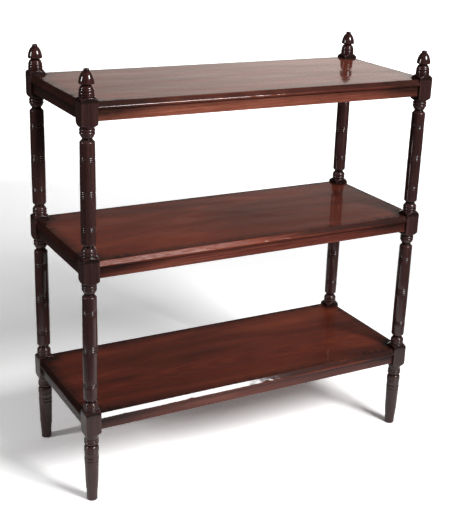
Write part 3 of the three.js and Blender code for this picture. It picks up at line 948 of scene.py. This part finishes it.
def make_sweep():
    """A paper sweep: a flat floor that turns up behind the piece by a quarter circle."""
    turn = np.linspace(0, np.pi / 2, 25)
    bend = SWEEP_WALL - SWEEP_RADIUS
    run = np.concatenate([[SWEEP_FRONT], bend + SWEEP_RADIUS * np.sin(turn), [SWEEP_WALL]])
    rise = np.concatenate([[0], SWEEP_RADIUS * (1 - np.cos(turn)), [SWEEP_TOP]])
    xs = np.linspace(-SWEEP_SIDE, SWEEP_SIDE, 9)
    x, y = np.meshgrid(xs, run)
    z = np.repeat(rise[:, None], len(xs), 1)
    heading = math.radians(CAMERA_TURN_DEG[0])
    east = x * math.cos(heading) + y * math.sin(heading)
    north = y * math.cos(heading) - x * math.sin(heading)
    points = np.stack([east, north, z], -1).reshape(-1, 3)
    mesh = bpy.data.meshes.new("paper_sweep")
    mesh.from_pydata(points.tolist(), [], grid_faces(len(run), len(xs), False).tolist())
    mesh.materials.append(studio_white())
    mesh.shade_smooth()
    sweep = bpy.data.objects.new("paper_sweep", mesh)
    bpy.context.scene.collection.objects.link(sweep)


def softbox(name, place, target, size, watts):
    """A square lamp that faces a point."""
    data = bpy.data.lights.new(name, "AREA")
    data.shape = "RECTANGLE"
    data.size, data.size_y = size
    data.energy = watts
    lamp = bpy.data.objects.new(name, data)
    ahead = np.array(target) - np.array(place)
    back = -ahead / np.linalg.norm(ahead)
    side = np.cross([0, 0, 1], back)
    side /= np.linalg.norm(side)
    lamp.matrix_world = placed((side, np.cross(back, side), back), place)
    bpy.context.scene.collection.objects.link(lamp)


def make_world():
    """A pale room for light, white for the camera, and for gloss a bright strip behind the piece.

    Gloss sees the lit paper low behind the piece and the unlit studio above and beside it.
    """
    world = bpy.data.worlds.new("pale_room")
    bpy.context.scene.world = world
    world.use_nodes = True
    tree = world.node_tree
    tree.nodes.clear()
    path = tree.nodes.new("ShaderNodeLightPath")
    camera, gloss, through = (path.outputs[f"Is {ray} Ray"]
                              for ray in ("Camera", "Glossy", "Transmission"))
    towards = add(tree, "ShaderNodeTexCoord", out="Generated")
    heading = math.radians(CAMERA_TURN_DEG[0] + STRIP_TURN_DEG)
    ahead = add(tree, "ShaderNodeVectorMath", {
        0: towards, 1: (math.sin(heading), math.cos(heading), 0)}, out="Value",
        operation="DOT_PRODUCT")
    facing = remap(tree, ahead, *STRIP_SIDES, 0.0, 1.0)
    rise = add(tree, "ShaderNodeSeparateXYZ", {"Vector": towards}, out="Z")
    low = remap(tree, rise, *STRIP_TOP, 1.0, 0.0)
    strip = reckon(tree, "MULTIPLY", facing, low)
    polish = remap(tree, strip, 0.0, 1.0, ROOM_GLOSS, PAPER_GLOSS)
    plain = remap(tree, gloss, 0.0, 1.0, ROOM_LIGHT, polish)
    seen = reckon(tree, "MAXIMUM", camera, through)
    strength = remap(tree, seen, 0.0, 1.0, plain, 1.0)
    # the paper is a warm white where the polish shows it
    tint = mixed_colours(tree, gloss, (1, 1, 1, 1), linear(PAPER_WARMTH))
    back = add(tree, "ShaderNodeBackground", {"Color": tint, "Strength": strength})
    add(tree, "ShaderNodeOutputWorld", {"Surface": back})


photo_camera()
bpy.context.scene.view_settings.view_transform = "Standard"

# dark, middle and light tones
TURNED_TONES = ("#281716", "#3c2523", "#513532")
FINIAL_TONES = ("#1d0f0f", "#301816", "#4d2824")
# the side rails get a darker copy of the rails' tones: painted shade, as little light reaches their
# left faces
SHADED_SIDE_RAIL_TONES = ("#231110", "#361e1a", "#472c26")
# heart and lean
TURNED_CUT = (0.35, 0.9, 0.0), (1.0, 1.5, 0.0)
RAIL_CUT = (0.55, 0.3, -0.2), (0.0, 2.0, 2.0)
SIDE_RAIL_CUT = (0.3, 0.0, -0.2), (2.0, 0.0, 2.0)
# tones and drift
RAILS = {
    "bottom": (("#391a14", "#572b23", "#724033"), 0.0),
    "middle": (("#431e17", "#663229", "#894e3e"), 0.0),
    "top": (("#4e251d", "#794234", "#9e5e4a"), -0.22)}
# tones, heart, lean, coat and drift
BOARDS = {
    "bottom": (("#2f120b", "#592418", "#823b24"), (0.0, 0.06, -0.17), (0.0, 3.5, 1.5),
               0.7, 0.16),
    "middle": (("#3a170f", "#662c1f", "#8a432c"), (0.35, -0.1, -0.59), (0.0, -2.5, -2.0),
               0.65, 0.0),
    "top": (("#441e15", "#713325", "#93503a"), (0.8, 0.02, -0.93), (0.0, 3.0, 2.5),
            0.77, 0.0)}
TURNED_RING, FINIAL_RING, BOARD_RING, RAIL_RING = 7.0, 6.0, 6.0, 7.0  # growth rings, millimetres
TURNED_COAT, FINIAL_COAT, RAIL_COAT = 0.9, 1.0, 0.6

mahogany = french_polished_mahogany
make_uprights(mahogany("french_polished_mahogany_turned", ALONG_Z, TURNED_TONES, *TURNED_CUT,
                       TURNED_RING, TURNED_COAT))
make_finials(mahogany("french_polished_mahogany_finial", ALONG_Z, FINIAL_TONES, *TURNED_CUT,
                      FINIAL_RING, FINIAL_COAT))
make_shelves({tier: mahogany(f"french_polished_mahogany_{tier}_board", ALONG_X, tones, heart, lean,
                             BOARD_RING, coat, drift)
              for tier, (tones, heart, lean, coat, drift) in BOARDS.items()})
make_rails({tier: mahogany(f"french_polished_mahogany_{tier}_rail", ALONG_X, tones, *RAIL_CUT,
                           RAIL_RING, RAIL_COAT, drift)
            for tier, (tones, drift) in RAILS.items()},
           mahogany("french_polished_mahogany_shaded_side_rail", ALONG_Y, SHADED_SIDE_RAIL_TONES, *SIDE_RAIL_CUT,
                    RAIL_RING, RAIL_COAT))
bare = {"corner_block": bare_pine("bare_pine_glue_block"), "screw": old_steel("old_steel_screw")}
for node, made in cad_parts.items():
    for kind, material in bare.items():
        if node.startswith(kind):
            made.data.materials.clear()
            made.data.materials.append(material)

make_sweep()
make_world()
softbox("right_softbox", (1.15, -2.9, 2.68), (0.0, 0.0, 0.6), (1.2, 1.2), 168.0)
softbox("left_softbox", (-3.2, 0.3, 1.7), (0.0, 0.0, 0.6), (0.42, 0.9), 36.0)
